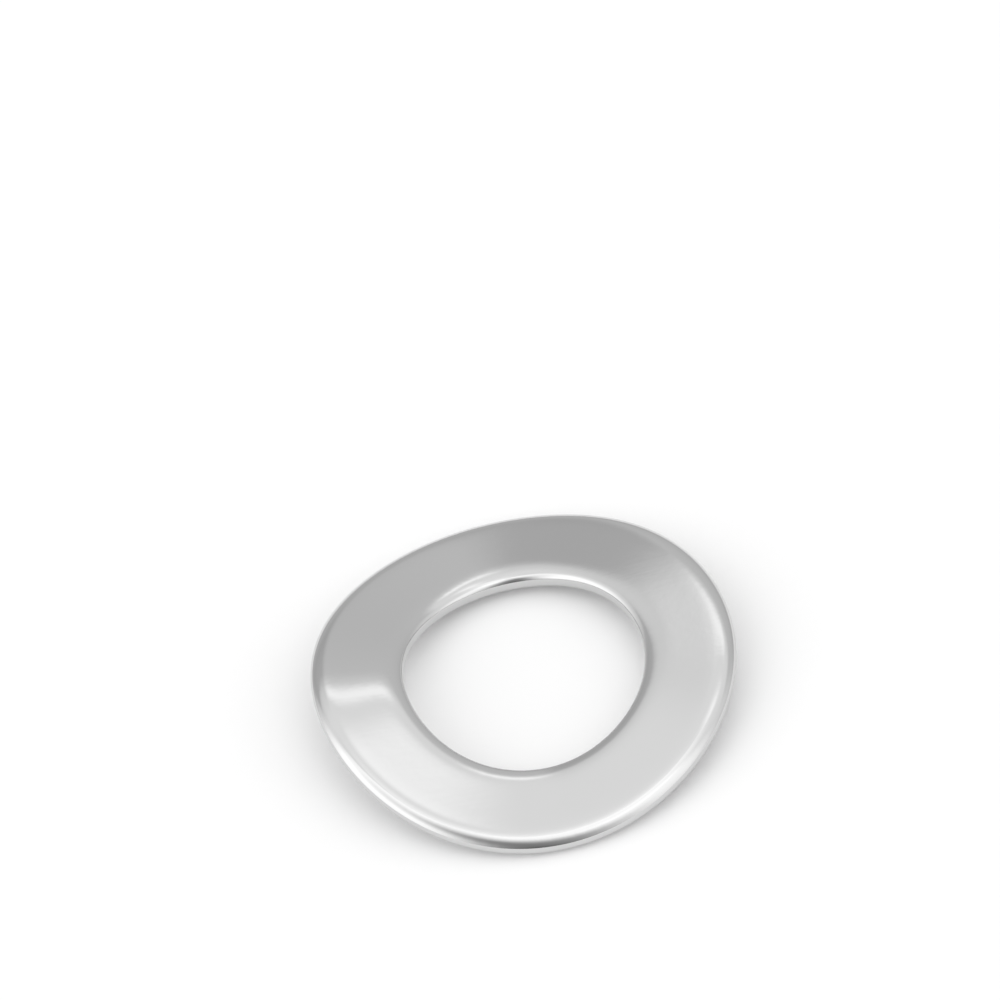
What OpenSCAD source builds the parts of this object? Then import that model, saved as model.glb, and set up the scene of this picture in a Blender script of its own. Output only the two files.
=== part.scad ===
// Wave washer: a spring ring blanked from sheet steel, tumbled smooth and pressed into two waves round its axis.
// One crest is pressed sharper and higher than the crest opposite, and the two troughs lie level.
// The bore's axis is Z, the sharper crest points along +X, and Z = 0 is the face that the troughs rest on.

/* [Ring] */
// Diameter of the rim
outer_d = 30; // [28:0.5:40]
// Diameter of the bore
bore_d = 17; // [12:0.5:18]
// Thickness of the sheet
sheet_t = 1.6; // [1:0.1:2.4]

/* [Waves] */
// Rise and fall of the two waves from the middle plane, at the rim
wave_height = 1.28; // [0.4:0.02:2]
// Lift of the sharper crest at the rim, by which the crest opposite drops
crest_lift = 0.88; // [0:0.02:2]

/* [Edges] */
// Width of the rounding on each edge, measured across the face
edge_reach = 2.1; // [0.6:0.1:2.4]
// Fullness of the rounding: 2 is an ellipse, and more keeps the face flat for longer
edge_fullness = 3; // [2:0.25:4]
// Height of the straight wall between the roundings of the two faces
edge_land = 0.2; // [0.1:0.05:0.6]

/* [Hidden] */

// Steps round the ring, and along each rounding
ring_steps = 144;
edge_steps = 6;

rim_r = outer_d / 2;
bore_r = bore_d / 2;

// The two roundings of a face leave a flat strip between them
face_reach = min(edge_reach, 0.45 * (rim_r - bore_r));
face_depth = (sheet_t - edge_land) / 2;

// The roundings run this far past the rim and the bore, so that both walls cut them cleanly
wall_cut = 0.03;

// Height of the waves at the rim, at an angle from the sharper crest
function wave_at(angle) = wave_height * cos(2 * angle) + crest_lift * pow(cos(angle), 5);

// Height that the waves give to a radius, at an angle from the sharper crest
function lift_at(radius, angle) = wave_at(angle) * radius / rim_r;

// A cosine or a sine bent by the fullness of the rounding, with its sign kept
function full(value) = sign(value) * pow(abs(value), 2 / edge_fullness);

// One rounding of the section, as radius and height: a quarter turn from the start angle
function rounding(centre_r, centre_z, start) = [
    for (step = [0 : edge_steps])
        let (turn = start + 90 * step / edge_steps)
        [
            centre_r + (face_reach + wall_cut) * full(cos(turn)),
            centre_z + face_depth * full(sin(turn))
        ]
];

// The sheet's section as radius and height, before it is waved
section = concat(
    rounding(rim_r - face_reach, edge_land / 2, 0),
    rounding(bore_r + face_reach, edge_land / 2, 90),
    rounding(bore_r + face_reach, -edge_land / 2, 180),
    rounding(rim_r - face_reach, -edge_land / 2, 270)
);

// Height of the sheet's middle at the axis, which puts the lowest line of the troughs at zero
seat_z = -min([for (corner = section) corner[1] + lift_at(corner[0], 90)]);
washer_h = seat_z + wave_height + crest_lift + sheet_t;

// The sheet swept round the axis: each radial line keeps its section and the waves grow with radius
module waved_sheet() {
    around = len(section);
    points = [
        for (step = [0 : ring_steps - 1])
            let (angle = 360 * step / ring_steps)
            for (corner = section)
                [
                    corner[0] * cos(angle),
                    corner[0] * sin(angle),
                    seat_z + corner[1] + lift_at(corner[0], angle)
                ]
    ];
    faces = [
        for (step = [0 : ring_steps - 1])
            let (here = step * around, ahead = (step + 1) % ring_steps * around)
            for (index = [0 : around - 1])
                let (next = (index + 1) % around)
                for (half = [0, 1])
                    half == 0
                        ? [here + index, here + next, ahead + next]
                        : [here + index, ahead + next, ahead + index]
    ];
    polyhedron(points, faces);
}

// The whole washer: the waved sheet with its rim and its bore cut true about the axis
module wave_washer() {
    color("#C8C9CA")
    difference() {
        intersection() {
            waved_sheet();
            translate([0, 0, -sheet_t])
                cylinder(d = outer_d, h = washer_h + 2 * sheet_t, $fn = ring_steps);
        }
        translate([0, 0, -2 * sheet_t])
            cylinder(d = bore_d, h = washer_h + 4 * sheet_t, $fn = ring_steps);
    }
}

wave_washer();
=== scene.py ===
"""Wave washer of tumbled spring steel, lying on a pale floor in a soft light tent."""

import math
from typing import NamedTuple

import bmesh
import bpy
from mathutils import Matrix, Vector


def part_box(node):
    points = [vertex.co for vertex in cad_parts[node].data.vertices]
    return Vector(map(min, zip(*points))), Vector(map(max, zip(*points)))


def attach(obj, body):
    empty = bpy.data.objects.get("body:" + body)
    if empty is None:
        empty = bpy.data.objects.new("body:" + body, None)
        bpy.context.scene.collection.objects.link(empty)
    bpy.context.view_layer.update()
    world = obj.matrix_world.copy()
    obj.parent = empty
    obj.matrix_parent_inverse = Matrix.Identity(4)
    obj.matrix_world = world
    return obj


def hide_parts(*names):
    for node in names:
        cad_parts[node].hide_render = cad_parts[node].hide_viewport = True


bl_info = {
    "name": "Wave Washer",
    "version": (1, 0, 0),
    "blender": (4, 5, 0),
    "location": "View3D > Sidebar > Washer",
    "description": "Builds a wave washer of tumbled spring steel, with its floor, light tent and camera",
    "category": "Object",
}

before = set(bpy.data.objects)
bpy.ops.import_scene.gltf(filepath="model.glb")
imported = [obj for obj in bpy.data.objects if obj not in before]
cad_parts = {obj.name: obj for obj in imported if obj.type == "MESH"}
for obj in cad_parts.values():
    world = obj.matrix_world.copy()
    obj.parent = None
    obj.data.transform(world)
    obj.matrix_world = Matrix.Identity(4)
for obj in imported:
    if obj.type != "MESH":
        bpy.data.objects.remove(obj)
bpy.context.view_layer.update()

MM = 0.001
NODE = "wave_washer"
NODE_LOW, NODE_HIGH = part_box(NODE)

# Steps round the ring and along each part of its section
RING_STEPS = 720
EDGE_STEPS = 20
FACE_STEPS = 8

# Power of the cosine that draws the sharper crest
CREST_POWER = 5

# Scale of the rolling grain along its lines, across them and through the sheet
GRAIN_STRETCH = (0.03, 1.0, 0.3)

# Dimples across one worn patch
PATCH_DIMPLES = 8

# Range that most noise values keep to, and the shares by which patches and grain change the roughness
NOISE_LOW = 0.3
NOISE_HIGH = 0.7
PATCH_CHANGE = 0.25
GRAIN_CHANGE = 0.2

# Half the floor's side, its squares along a side, the film's width and the camera's near and far limits
FLOOR_HALF_SIDE = 4.0
FLOOR_SQUARES = 8
FILM_WIDTH_MM = 36.0
NEAR_LIMIT = 0.01
FAR_LIMIT = 20.0

# Degrees from the floor to straight overhead, and in half a turn
OVERHEAD = 90.0
HALF_TURN = 180.0


def linear(hex_colour):
    """Linear red, green and blue of an sRGB hex value."""
    parts = [int(hex_colour[index:index + 2], 16) / 255 for index in (1, 3, 5)]
    return [part / 12.92 if part <= 0.04045 else ((part + 0.055) / 1.055) ** 2.4 for part in parts]


def add_node(tree, kind, settings=None, links=None):
    """Adds one node. Each link is a plain value, an output, or a node for its first output."""
    node = tree.nodes.new(kind)
    for name, value in (settings or {}).items():
        setattr(node, name, value)
    for name, value in (links or {}).items():
        socket = node.inputs[name]
        if isinstance(value, bpy.types.Node):
            tree.links.new(value.outputs[0], socket)
        elif isinstance(value, bpy.types.NodeSocket):
            tree.links.new(value, socket)
        else:
            socket.default_value = value
    return node


class WasherForm(bpy.types.PropertyGroup):
    """Sizes of the washer's pressed ring."""

    rim_radius: bpy.props.FloatProperty(
        name="Rim radius",
        description="Radius of the washer's outside",
        default=(NODE_HIGH[0] - NODE_LOW[0]) / 2,
        unit="LENGTH",
        precision=5,
    )
    bore_radius: bpy.props.FloatProperty(
        name="Bore radius",
        description="Radius of the hole for the bolt",
        default=8.5 * MM,
        unit="LENGTH",
        precision=5,
    )
    sheet_thickness: bpy.props.FloatProperty(
        name="Sheet thickness",
        description="Thickness of the spring steel",
        default=1.6 * MM,
        unit="LENGTH",
        precision=5,
    )
    wave_height: bpy.props.FloatProperty(
        name="Wave height",
        description="Rise and fall of the two waves from the middle plane, at the rim",
        default=1.28 * MM,
        unit="LENGTH",
        precision=5,
    )
    crest_lift: bpy.props.FloatProperty(
        name="Crest lift",
        description="Lift of the sharper crest at the rim, by which the crest opposite drops",
        default=0.88 * MM,
        unit="LENGTH",
        precision=5,
    )
    edge_reach: bpy.props.FloatProperty(
        name="Edge reach",
        description="Width of the rounding on each edge, measured across the face",
        default=2.1 * MM,
        unit="LENGTH",
        precision=5,
    )
    shoulder_fullness: bpy.props.FloatProperty(
        name="Shoulder fullness",
        description="Fullness of the rim's rounding towards the face: more keeps the face flat for longer",
        default=3.6,
        min=2.0,
        max=4.0,
    )
    nose_fullness: bpy.props.FloatProperty(
        name="Nose fullness",
        description="Fullness of the rim's wall: 2 is a round nose, and more makes it straighter",
        default=2.2,
        min=2.0,
        max=4.0,
    )
    bore_fullness: bpy.props.FloatProperty(
        name="Bore fullness",
        description="Fullness of the bore's rounding: 2 is round, and more is closer to square",
        default=3.0,
        min=2.0,
        max=4.0,
    )
    bore_land: bpy.props.FloatProperty(
        name="Bore land",
        description="Height of the straight wall of the bore, between the roundings of the two faces",
        default=0.2 * MM,
        unit="LENGTH",
        precision=5,
    )


class WasherSteel(bpy.types.PropertyGroup):
    """Finish of the spring steel."""

    colour: bpy.props.StringProperty(
        name="Steel",
        description="Colour that the tumbled steel gives a reflection, as an sRGB hex value",
        default="#D1D1D1",
    )
    face_roughness: bpy.props.FloatProperty(
        name="Face roughness",
        description="Roughness of the flat faces",
        default=0.07,
        min=0.0,
        max=1.0,
        subtype="FACTOR",
    )
    edge_roughness: bpy.props.FloatProperty(
        name="Edge roughness",
        description="Roughness of the rounded edges, which tumbling polishes further",
        default=0.03,
        min=0.0,
        max=1.0,
        subtype="FACTOR",
    )
    grain_spacing: bpy.props.FloatProperty(
        name="Grain spacing",
        description="Distance between the rolling lines of the sheet",
        default=0.25 * MM,
        unit="LENGTH",
        precision=6,
    )
    grain_depth: bpy.props.FloatProperty(
        name="Grain depth",
        description="Depth of the rolling lines that tumbling has left",
        default=0.0012 * MM,
        unit="LENGTH",
        precision=6,
    )
    mark_spacing: bpy.props.FloatProperty(
        name="Mark spacing",
        description="Distance between the soft dimples that the tumbling stones leave",
        default=0.7 * MM,
        unit="LENGTH",
        precision=6,
    )
    mark_depth: bpy.props.FloatProperty(
        name="Mark depth",
        description="Depth of the soft dimples",
        default=0.003 * MM,
        unit="LENGTH",
        precision=6,
    )


class WasherStage(bpy.types.PropertyGroup):
    """Floor, light tent and camera."""

    floor_colour: bpy.props.StringProperty(
        name="Floor",
        description="Colour of the matt floor, as an sRGB hex value",
        default="#F9F9F9",
    )
    floor_glow: bpy.props.FloatProperty(
        name="Floor glow",
        description="Light that the floor shows to the eye and to the steel on top of what it reflects",
        default=0.04,
        min=0.0,
        max=1.0,
        subtype="FACTOR",
    )
    tent_level: bpy.props.FloatProperty(
        name="Tent level",
        description="Brightness of the tent's cloth between its panels, at the height of the floor",
        default=0.85,
        min=0.0,
    )
    tent_lift: bpy.props.FloatProperty(
        name="Tent lift",
        description="Brightness that the tent's cloth gains from the floor to the top",
        default=0.3,
        min=0.0,
    )
    view_heading: bpy.props.FloatProperty(
        name="View heading",
        description="Direction of the camera seen from the washer, from +X towards +Y",
        default=math.radians(87.44),
        subtype="ANGLE",
    )
    view_elevation: bpy.props.FloatProperty(
        name="View elevation",
        description="Height of the camera over the floor, as an angle",
        default=math.radians(49.28),
        subtype="ANGLE",
    )
    view_roll: bpy.props.FloatProperty(
        name="View roll",
        description="Turn of the camera about its own line of sight",
        default=math.radians(-11.43),
        subtype="ANGLE",
    )
    view_distance: bpy.props.FloatProperty(
        name="View distance",
        description="Distance from the camera to the point that it is aimed at",
        default=433.25 * MM,
        unit="LENGTH",
        precision=5,
    )
    view_aim: bpy.props.FloatVectorProperty(
        name="View aim",
        description="Point that the camera is aimed at",
        default=(-1.36 * MM, -15.85 * MM, 2.2 * MM),
        subtype="XYZ_LENGTH",
        precision=5,
    )
    lens: bpy.props.FloatProperty(
        name="Lens",
        description="Focal length of the camera, in millimetres",
        default=216.04,
    )


def wave_lift(form, radius, angle):
    """Height that the waves give to a radius, at an angle from the sharper crest."""
    rim_lift = form.wave_height * math.cos(2 * angle) + form.crest_lift * math.cos(angle) ** CREST_POWER
    return rim_lift * radius / form.rim_radius


def rounded_edge(form, wall, inward, face_fullness, wall_fullness, land):
    """Points of an upper edge, wall to face: radius, height over the sheet's middle and share of edge."""
    depth = (form.sheet_thickness - land) / 2
    points = []
    for step in range(EDGE_STEPS + 1):
        turn = math.pi / 2 * step / EDGE_STEPS
        back = form.edge_reach * (1 - math.cos(turn) ** (2 / face_fullness))
        height = land / 2 + depth * math.sin(turn) ** (2 / wall_fullness)
        points.append((wall + inward * back, height, 1 - step / EDGE_STEPS))
    return points


def washer_section(form):
    """The sheet's section once round, as radius, height and how far each point lies into an edge."""
    rim = rounded_edge(form, form.rim_radius, -1, form.shoulder_fullness, form.nose_fullness, 0.0)
    bore = rounded_edge(form, form.bore_radius, 1, form.bore_fullness, form.bore_fullness, form.bore_land)
    width = bore[-1][0] - rim[-1][0]
    face = [(rim[-1][0] + width * step / FACE_STEPS, rim[-1][1], 0.0) for step in range(1, FACE_STEPS)]
    upper = rim + face + bore[::-1]
    lower = [(radius, -height, edge) for radius, height, edge in reversed(upper) if height > 0]
    return upper + lower


def tumbled_spring_steel(steel):
    """Spring steel, rolled, blanked and tumbled: bright, with a faint rolling grain and soft dimples.

    The eye sees clear, slightly softened reflections that waver a little and run cleaner along the edges.
    """
    material = bpy.data.materials.new("tumbled_spring_steel")
    material.use_nodes = True
    tree = material.node_tree
    tree.nodes.clear()
    place = add_node(tree, "ShaderNodeTexCoord")
    edge = add_node(tree, "ShaderNodeAttribute", {"attribute_name": "edge"})

    # Rolling lines run along X, far longer than wide; drawn coarser than real ones, so that they show
    along_grain = add_node(tree, "ShaderNodeMapping", links={
        "Vector": place.outputs["Object"],
        "Scale": [stretch / steel.grain_spacing for stretch in GRAIN_STRETCH],
    })
    grain = add_node(tree, "ShaderNodeTexNoise", links={
        "Vector": along_grain,
        "Scale": 1.0,
        "Detail": 3.0,
        "Roughness": 0.6,
    })

    # Tumbling stones leave dimples, and worn and less worn patches several dimples wide
    marks = add_node(tree, "ShaderNodeTexNoise", links={
        "Vector": place.outputs["Object"],
        "Scale": 1 / steel.mark_spacing,
        "Detail": 2.0,
        "Roughness": 0.5,
    })
    patches = add_node(tree, "ShaderNodeTexNoise", links={
        "Vector": place.outputs["Object"],
        "Scale": 1 / (PATCH_DIMPLES * steel.mark_spacing),
        "Detail": 2.0,
        "Roughness": 0.5,
    })

    # Faces are a little rougher than the edges, and both change softly from patch to patch and line to line
    base_roughness = add_node(tree, "ShaderNodeMapRange", links={
        "Value": edge.outputs["Fac"],
        "To Min": steel.face_roughness,
        "To Max": steel.edge_roughness,
    })
    patch_change = add_node(tree, "ShaderNodeMapRange", links={
        "Value": patches,
        "From Min": NOISE_LOW,
        "From Max": NOISE_HIGH,
        "To Min": 1 - PATCH_CHANGE,
        "To Max": 1 + PATCH_CHANGE,
    })
    grain_change = add_node(tree, "ShaderNodeMapRange", links={
        "Value": grain,
        "From Min": NOISE_LOW,
        "From Max": NOISE_HIGH,
        "To Min": 1 - GRAIN_CHANGE,
        "To Max": 1 + GRAIN_CHANGE,
    })
    patch_roughness = add_node(tree, "ShaderNodeMath", {"operation": "MULTIPLY"}, {
        0: base_roughness,
        1: patch_change,
    })
    roughness = add_node(tree, "ShaderNodeMath", {"operation": "MULTIPLY"}, {
        0: patch_roughness,
        1: grain_change,
    })

    grain_bump = add_node(tree, "ShaderNodeBump", links={
        "Height": grain,
        "Strength": 1.0,
        "Distance": steel.grain_depth,
    })
    mark_bump = add_node(tree, "ShaderNodeBump", links={
        "Height": marks,
        "Strength": 1.0,
        "Distance": steel.mark_depth,
        "Normal": grain_bump,
    })
    shader = add_node(tree, "ShaderNodeBsdfPrincipled", links={
        "Base Color": (*linear(steel.colour), 1.0),
        "Metallic": 1.0,
        "Roughness": roughness,
        "Normal": mark_bump,
    })
    add_node(tree, "ShaderNodeOutputMaterial", links={"Surface": shader})
    return material


class WASHER_OT_ring(bpy.types.Operator):
    """Build the waved ring with its rounded edges and steel finish."""

    bl_idname = "washer.ring"
    bl_label = "Waved ring"

    def execute(self, context):
        form = context.scene.washer_form
        section = washer_section(form)
        trough = math.pi / 2
        seat = -min(height + wave_lift(form, radius, trough) for radius, height, edge in section)

        mesh = bpy.data.meshes.new("waved_ring")
        bm = bmesh.new()
        edge_layer = bm.verts.layers.float.new("edge")
        rings = []
        for step in range(RING_STEPS):
            angle = 2 * math.pi * step / RING_STEPS
            ring = []
            for radius, height, edge in section:
                vert = bm.verts.new((
                    radius * math.cos(angle),
                    radius * math.sin(angle),
                    seat + height + wave_lift(form, radius, angle),
                ))
                vert[edge_layer] = edge
                ring.append(vert)
            rings.append(ring)
        for step, ring in enumerate(rings):
            ahead = rings[(step + 1) % RING_STEPS]
            for index in range(len(section)):
                after = (index + 1) % len(section)
                face = bm.faces.new((ring[index], ahead[index], ahead[after], ring[after]))
                face.smooth = True
        bmesh.ops.recalc_face_normals(bm, faces=bm.faces)
        bm.to_mesh(mesh)
        bm.free()
        mesh.materials.append(tumbled_spring_steel(context.scene.washer_steel))

        ring_piece = bpy.data.objects.new("waved_ring", mesh)
        context.scene.collection.objects.link(ring_piece)
        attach(ring_piece, "root")
        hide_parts(NODE)
        return {"FINISHED"}


class TentPanel(NamedTuple):
    """A soft panel of the tent, in degrees as the washer sees it.

    Turn is measured clockwise from straight behind the washer, and rise from the floor. The half sizes
    are the part at full strength, and the borders fade outside them. Light is what the panel adds to the
    cloth or, below zero, takes from it, and lean is the rise for each degree of turn.
    """

    turn: float
    rise: float
    half_width: float
    half_height: float
    side_border: float
    end_border: float
    light: float
    lean: float = 0.0


# Placed in steps of five degrees: the near faces mirror the windows and what lies over them, the far face
# mirrors the grey far wall, and the edges mirror the boxes and the gap beside the camera
TENT_PANELS = {
    "roof": TentPanel(130, 90, 120, 0, 120, 30, 0.4),
    "left_box": TentPanel(-115, 5, 20, 30, 40, 45, 0.65, 0.4),
    "right_box": TentPanel(140, 30, 15, 40, 35, 15, 0.4),
    "camera_gap": TentPanel(-175, 5, 10, 40, 40, 45, -0.7, 0.5),
    "far_wall": TentPanel(10, 5, 45, 35, 35, 10, -0.25),
    "far_flag": TentPanel(-25, 35, 20, 10, 10, 20, -0.15),
    "window": TentPanel(15, 50, 5, 0, 15, 5, 0.35),
    "high_window": TentPanel(35, 65, 0, 0, 25, 10, 0.3),
    "far_band": TentPanel(-10, 80, 45, 0, 5, 20, -0.2),
}


def light_tent(scene, stage):
    """A cloth tent round the washer: soft panels of light, and a dark gap where the camera looks in."""
    world = bpy.data.worlds.new("light_tent")
    world.use_nodes = True
    tree = world.node_tree
    tree.nodes.clear()
    place = add_node(tree, "ShaderNodeTexCoord")
    turned = add_node(tree, "ShaderNodeVectorRotate", {"rotation_type": "Z_AXIS"}, {
        "Vector": place.outputs["Generated"],
        "Angle": -math.pi / 2 - stage.view_heading,
    })
    split = add_node(tree, "ShaderNodeSeparateXYZ", links={"Vector": turned})
    bearing = add_node(tree, "ShaderNodeMath", {"operation": "ARCTAN2"}, {
        0: split.outputs["X"],
        1: split.outputs["Y"],
    })
    turn = add_node(tree, "ShaderNodeMath", {"operation": "DEGREES"}, {0: bearing})
    height = add_node(tree, "ShaderNodeMath", {"operation": "ARCSINE"}, {0: split.outputs["Z"]})
    rise = add_node(tree, "ShaderNodeMath", {"operation": "DEGREES"}, {0: height})
    total = add_node(tree, "ShaderNodeMapRange", links={
        "Value": rise,
        "From Max": OVERHEAD,
        "To Min": stage.tent_level,
        "To Max": stage.tent_level + stage.tent_lift,
    })
    for panel in TENT_PANELS.values():
        past = add_node(tree, "ShaderNodeMath", {"operation": "SUBTRACT"}, {0: turn, 1: panel.turn})
        aside = add_node(tree, "ShaderNodeMath", {"operation": "WRAP"}, {
            0: past,
            1: HALF_TURN,
            2: -HALF_TURN,
        })
        level = add_node(tree, "ShaderNodeMath", {"operation": "MULTIPLY_ADD"}, {
            0: aside,
            1: -panel.lean,
            2: rise,
        })
        above = add_node(tree, "ShaderNodeMath", {"operation": "SUBTRACT"}, {0: level, 1: panel.rise})
        sides = (aside, panel.half_width, panel.side_border)
        ends = (above, panel.half_height, panel.end_border)
        strength = panel.light
        for offset, half_size, border in (sides, ends):
            distance = add_node(tree, "ShaderNodeMath", {"operation": "ABSOLUTE"}, {0: offset})
            fade = add_node(tree, "ShaderNodeMapRange", {"interpolation_type": "SMOOTHSTEP"}, {
                "Value": distance,
                "From Min": half_size + border,
                "From Max": half_size,
            })
            strength = add_node(tree, "ShaderNodeMath", {"operation": "MULTIPLY"}, {0: fade, 1: strength})
        total = add_node(tree, "ShaderNodeMath", {"operation": "ADD"}, {0: total, 1: strength})
    cloth = add_node(tree, "ShaderNodeBackground", links={"Color": (1.0, 1.0, 1.0, 1.0), "Strength": total})
    add_node(tree, "ShaderNodeOutputWorld", links={"Surface": cloth})
    scene.world = world


def matt_floor(stage):
    """Matt white studio board: an even pale ground that keeps the washer's shadow."""
    material = bpy.data.materials.new("matt_white_board")
    material.use_nodes = True
    tree = material.node_tree
    tree.nodes.clear()
    board = add_node(tree, "ShaderNodeBsdfDiffuse", links={"Color": (*linear(stage.floor_colour), 1.0)})
    path = add_node(tree, "ShaderNodeLightPath")
    eye = add_node(tree, "ShaderNodeMath", {"operation": "ADD"}, {
        0: path.outputs["Is Camera Ray"],
        1: path.outputs["Is Glossy Ray"],
    })
    seen = add_node(tree, "ShaderNodeMath", {"operation": "ADD", "use_clamp": True}, {
        0: eye,
        1: path.outputs["Is Transmission Ray"],
    })
    strength = add_node(tree, "ShaderNodeMath", {"operation": "MULTIPLY"}, {0: seen, 1: stage.floor_glow})
    glow = add_node(tree, "ShaderNodeEmission", links={"Strength": strength})
    both = add_node(tree, "ShaderNodeAddShader", links={0: board, 1: glow})
    add_node(tree, "ShaderNodeOutputMaterial", links={"Surface": both})
    return material


class WASHER_OT_stage(bpy.types.Operator):
    """Set the floor, the light tent and the camera."""

    bl_idname = "washer.stage"
    bl_label = "Floor, light and camera"

    def execute(self, context):
        scene = context.scene
        stage = scene.washer_stage

        mesh = bpy.data.meshes.new("floor")
        bm = bmesh.new()
        bmesh.ops.create_grid(bm, x_segments=FLOOR_SQUARES, y_segments=FLOOR_SQUARES, size=FLOOR_HALF_SIDE)
        bm.to_mesh(mesh)
        bm.free()
        mesh.materials.append(matt_floor(stage))
        floor = bpy.data.objects.new("floor", mesh)
        scene.collection.objects.link(floor)

        light_tent(scene, stage)

        lens = bpy.data.cameras.new("camera")
        lens.lens = stage.lens
        lens.sensor_width = FILM_WIDTH_MM
        lens.clip_start = NEAR_LIMIT
        lens.clip_end = FAR_LIMIT
        camera = bpy.data.objects.new("camera", lens)
        back = Vector((
            math.cos(stage.view_elevation) * math.cos(stage.view_heading),
            math.cos(stage.view_elevation) * math.sin(stage.view_heading),
            math.sin(stage.view_elevation),
        ))
        place = Matrix.Translation(Vector(stage.view_aim) + back * stage.view_distance)
        facing = back.to_track_quat("Z", "Y").to_matrix().to_4x4()
        camera.matrix_world = place @ facing @ Matrix.Rotation(stage.view_roll, 4, "Z")
        scene.collection.objects.link(camera)
        scene.camera = camera
        scene.view_settings.view_transform = "Standard"
        return {"FINISHED"}


class WASHER_PT_panel(bpy.types.Panel):
    """Sizes, finish and stage of the wave washer."""

    bl_idname = "WASHER_PT_panel"
    bl_label = "Wave Washer"
    bl_space_type = "VIEW_3D"
    bl_region_type = "UI"
    bl_category = "Washer"

    def draw(self, context):
        groups = (context.scene.washer_form, context.scene.washer_steel, context.scene.washer_stage)
        for group in groups:
            column = self.layout.column(align=True)
            for name in group.__annotations__:
                column.prop(group, name)
        for operator in (WASHER_OT_stage, WASHER_OT_ring):
            self.layout.operator(operator.bl_idname)


CLASSES = (WasherForm, WasherSteel, WasherStage, WASHER_OT_ring, WASHER_OT_stage, WASHER_PT_panel)


def register():
    for each in CLASSES:
        bpy.utils.register_class(each)
    bpy.types.Scene.washer_form = bpy.props.PointerProperty(type=WasherForm)
    bpy.types.Scene.washer_steel = bpy.props.PointerProperty(type=WasherSteel)
    bpy.types.Scene.washer_stage = bpy.props.PointerProperty(type=WasherStage)


def unregister():
    del bpy.types.Scene.washer_stage
    del bpy.types.Scene.washer_steel
    del bpy.types.Scene.washer_form
    for each in reversed(CLASSES):
        bpy.utils.unregister_class(each)


def main():
    register()
    bpy.ops.washer.stage()
    bpy.ops.washer.ring()


if __name__ == "__main__":
    main()
